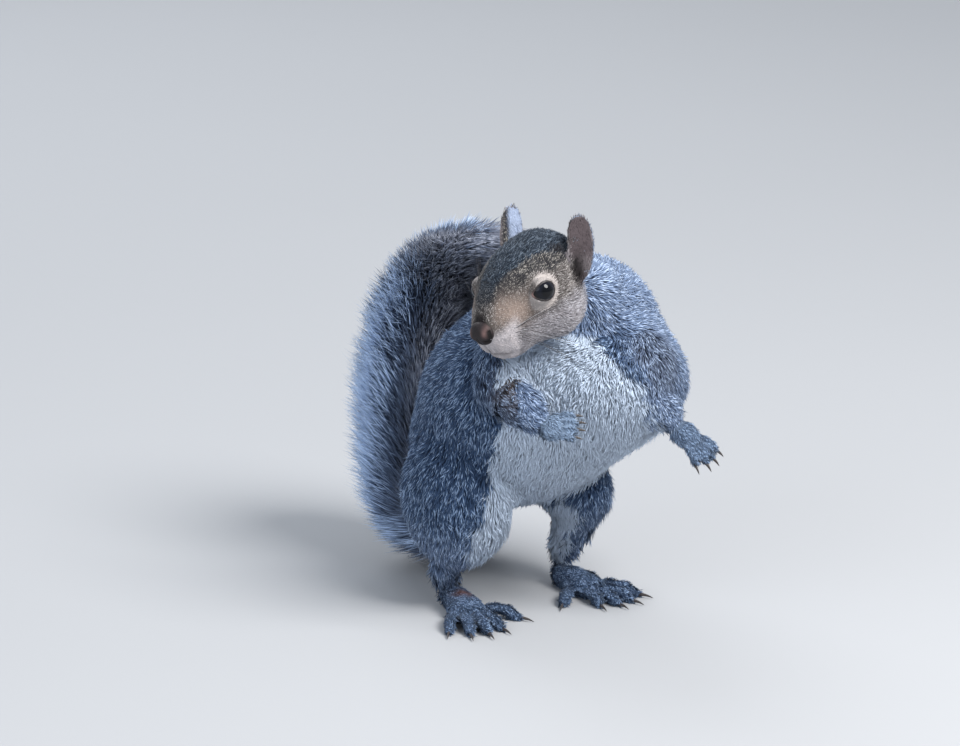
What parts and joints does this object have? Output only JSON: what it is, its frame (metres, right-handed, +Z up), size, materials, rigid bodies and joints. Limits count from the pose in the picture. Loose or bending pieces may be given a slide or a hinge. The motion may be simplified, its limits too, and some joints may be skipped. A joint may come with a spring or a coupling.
{
  "type": "grey squirrel",
  "caption": "Life-size still model of a grey squirrel in winter coat, propped on its hind feet with one forepaw reaching out, one held to its white chest, and its tail curled up its back.",
  "frame": {"origin": "on the floor, at the middle of the animal's box", "axes": "+Z up; -Y toward the side that the chest faces; +X to the animal's left, the side of the reaching forepaw"},
  "size_m": [0.1628, 0.1686, 0.1826],
  "materials": {
    "body_fur": "dense soft winter fur, grey with pale ticking, white underneath",
    "head_fur": "short fur, dark grey-brown crown, tan cheeks, cream eye rings, white chin",
    "tail_fur": "long loose fur, brown-grey down the middle with a frosted white fringe",
    "paw_fur": "very short pale grey fur over slim toes",
    "ear_fur": "thin velvety ear, tan inside and white behind",
    "nose_leather": "bare damp nose leather, slightly glossy",
    "eye": "very dark brown, wet and glossy",
    "claw": "dark smooth horn, slightly glossy"
  },
  "bodies": {
    "root": {"trunk": "body_fur", "head": "head_fur", "nose": "nose_leather", "eye_left": "eye", "ear_left": "ear_fur", "eye_right": "eye", "ear_right": "ear_fur", "neck": "body_fur", "thigh_left": "body_fur", "foot_left": "paw_fur", "foot_left_claw_1": "claw", "foot_left_claw_2": "claw", "foot_left_claw_3": "claw", "foot_left_claw_4": "claw", "foot_left_claw_5": "claw", "shank_left": "body_fur", "upper_arm_left": "body_fur", "paw_left": "paw_fur", "paw_left_claw_1": "claw", "paw_left_claw_2": "claw", "paw_left_claw_3": "claw", "paw_left_claw_4": "claw", "forearm_left": "body_fur", "thigh_right": "body_fur", "foot_right": "paw_fur", "foot_right_claw_1": "claw", "foot_right_claw_2": "claw", "foot_right_claw_3": "claw", "foot_right_claw_4": "claw", "foot_right_claw_5": "claw", "shank_right": "body_fur", "upper_arm_right": "body_fur", "paw_right": "paw_fur", "paw_right_claw_1": "claw", "paw_right_claw_2": "claw", "paw_right_claw_3": "claw", "paw_right_claw_4": "claw", "forearm_right": "body_fur", "tail_1": "tail_fur", "tail_2": "tail_fur", "tail_3": "tail_fur", "tail_4": "tail_fur"}
  },
  "joints": []
}
